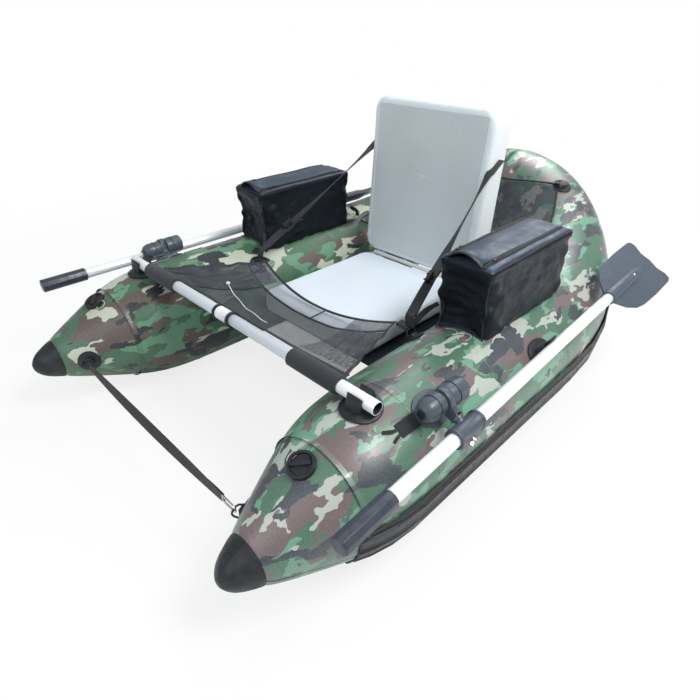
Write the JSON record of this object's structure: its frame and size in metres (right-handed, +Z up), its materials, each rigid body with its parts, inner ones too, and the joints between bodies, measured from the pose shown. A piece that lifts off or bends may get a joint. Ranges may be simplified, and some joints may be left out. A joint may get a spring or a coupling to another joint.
{
  "type": "inflatable float tube",
  "caption": "Inflatable twin-bow float tube with a folding seat, side bags, crossbar, apron netting and stowed oars.",
  "frame": {"origin": "centre of the boat on the floor it stands on", "axes": "+Z up, bows towards -Y, stern towards +Y, port side towards +X"},
  "size_m": [1.284, 1.8, 0.7501],
  "materials": {
    "camo_fabric": "coated PVC fabric in a woodland camouflage of muted greens, brown and dark slate",
    "black_rubber": "moulded black rubber, satin",
    "pale_board": "coated drop-stitch fabric, pale grey, satin",
    "grey_board": "coated drop-stitch fabric, mid grey, fine weave",
    "black_nylon": "dark woven nylon, slightly shiny",
    "black_webbing": "black polyester webbing",
    "black_net": "black netting with a bound edge",
    "black_plastic": "black moulded plastic",
    "satin_aluminium": "anodised satin",
    "white_aluminium": "white powder-coated tube",
    "black_foam": "closed-cell foam sleeve",
    "slate_plastic": "dark slate moulded plastic",
    "steel": "stainless steel"
  },
  "bodies": {
    "hull": {"port_air_chamber": "camo_fabric", "starboard_air_chamber": "camo_fabric", "port_nose_cone": "black_rubber", "starboard_nose_cone": "black_rubber", "port_rub_strake": "black_rubber", "starboard_rub_strake": "black_rubber", "port_valve_body": "black_rubber", "starboard_valve_body": "black_rubber", "port_seat_strap": "black_webbing", "starboard_seat_strap": "black_webbing", "port_strap_buckle": "black_plastic", "starboard_strap_buckle": "black_plastic", "port_strap_anchor": "black_rubber", "starboard_strap_anchor": "black_rubber", "port_bag": "black_nylon", "starboard_bag": "black_nylon", "port_bar_tube": "satin_aluminium", "starboard_bar_tube": "satin_aluminium", "port_foam_grip": "black_foam", "starboard_foam_grip": "black_foam", "port_bar_saddle": "black_rubber", "starboard_bar_saddle": "black_rubber", "port_apron_buckle": "black_plastic", "starboard_apron_buckle": "black_plastic", "port_net_anchor": "black_rubber", "starboard_net_anchor": "black_rubber", "port_bow_ring": "black_rubber", "starboard_bow_ring": "black_rubber", "port_rowlock_block": "black_rubber", "starboard_rowlock_block": "black_rubber", "port_oar_clip": "black_rubber", "starboard_oar_clip": "black_rubber", "seat_sling": "black_nylon", "seat_cushion": "pale_board", "backrest_hinge": "black_webbing", "bar_ferrule": "satin_aluminium", "apron": "black_net", "cargo_net": "black_net", "bow_strap": "black_webbing", "bow_snap_hook": "steel"},
    "backrest": {"backrest": "grey_board", "backrest_valve": "black_plastic"},
    "port_bag_lid": {"port_bag_lid": "black_nylon"},
    "port_valve_cap": {"port_valve_cap": "black_plastic"},
    "port_rowlock_arm": {"port_rowlock_arm": "black_plastic"},
    "port_oar": {"port_oar_shaft": "white_aluminium", "port_oar_grip": "black_rubber", "port_oar_blade": "slate_plastic", "port_oar_collar": "black_plastic", "port_collar_bolt": "steel"},
    "port_oar_snap_button": {"port_oar_snap_button": "steel"},
    "starboard_bag_lid": {"starboard_bag_lid": "black_nylon"},
    "starboard_valve_cap": {"starboard_valve_cap": "black_plastic"},
    "starboard_rowlock_arm": {"starboard_rowlock_arm": "black_plastic"},
    "starboard_oar": {"starboard_oar_shaft": "white_aluminium", "starboard_oar_grip": "black_rubber", "starboard_oar_blade": "slate_plastic", "starboard_oar_collar": "black_plastic", "starboard_collar_bolt": "steel"},
    "starboard_oar_snap_button": {"starboard_oar_snap_button": "steel"}
  },
  "joints": [
    {"name": "backrest_fold", "type": "hinge", "parent": "hull", "child": "backrest", "pos_m": [0, 0.15035, 0.26242], "axis": [1, 0, 0], "range_deg": [0, 88], "deforming": ["port_seat_strap", "starboard_seat_strap"]},
    {"name": "port_bag_lid_hinge", "type": "hinge", "parent": "hull", "child": "port_bag_lid", "pos_m": [0.475, 0.005, 0.48085], "axis": [0, 1, 0], "range_deg": [0, 110]},
    {"name": "port_valve_cap_turn", "type": "hinge", "parent": "hull", "child": "port_valve_cap", "pos_m": [0.4419, -0.70002, 0.27952], "axis": [0, -0.3991, 0.9169], "range_deg": [0, 90]},
    {"name": "port_rowlock_swivel", "type": "hinge", "parent": "hull", "child": "port_rowlock_arm", "pos_m": [0.52098, -0.43002, 0.30161], "axis": [0.5591, -0.0161, 0.8289], "range_deg": [-110, 0]},
    {"name": "port_oar_pitch", "type": "hinge", "parent": "port_rowlock_arm", "child": "port_oar", "pos_m": [0.60283, -0.43029, 0.29627], "axis": [0.829, 0, -0.5592], "range_deg": [0, 12]},
    {"name": "port_snap_button_press", "type": "slide", "parent": "port_oar", "child": "port_oar_snap_button", "axis": [-0.4997, -0.0096, -0.8662], "range_m": [0, 0.008], "stiffness_N_per_m": 150, "springref_m": -0.01},
    {"name": "starboard_bag_lid_hinge", "type": "hinge", "parent": "hull", "child": "starboard_bag_lid", "pos_m": [-0.475, 0.005, 0.48085], "axis": [0, -1, 0], "range_deg": [0, 110]},
    {"name": "starboard_valve_cap_turn", "type": "hinge", "parent": "hull", "child": "starboard_valve_cap", "pos_m": [-0.4419, -0.70002, 0.27952], "axis": [0, 0.3991, -0.9169], "range_deg": [0, 90]},
    {"name": "starboard_rowlock_swivel", "type": "hinge", "parent": "hull", "child": "starboard_rowlock_arm", "pos_m": [-0.52098, -0.43002, 0.30161], "axis": [0.5591, 0.0161, -0.8289], "range_deg": [-110, 0]},
    {"name": "starboard_oar_pitch", "type": "hinge", "parent": "starboard_rowlock_arm", "child": "starboard_oar", "pos_m": [-0.60283, -0.43029, 0.29627], "axis": [0.829, 0, 0.5592], "range_deg": [0, 12]},
    {"name": "starboard_snap_button_press", "type": "slide", "parent": "starboard_oar", "child": "starboard_oar_snap_button", "axis": [0.4997, -0.0096, -0.8662], "range_m": [0, 0.008], "stiffness_N_per_m": 150, "springref_m": -0.01}
  ]
}
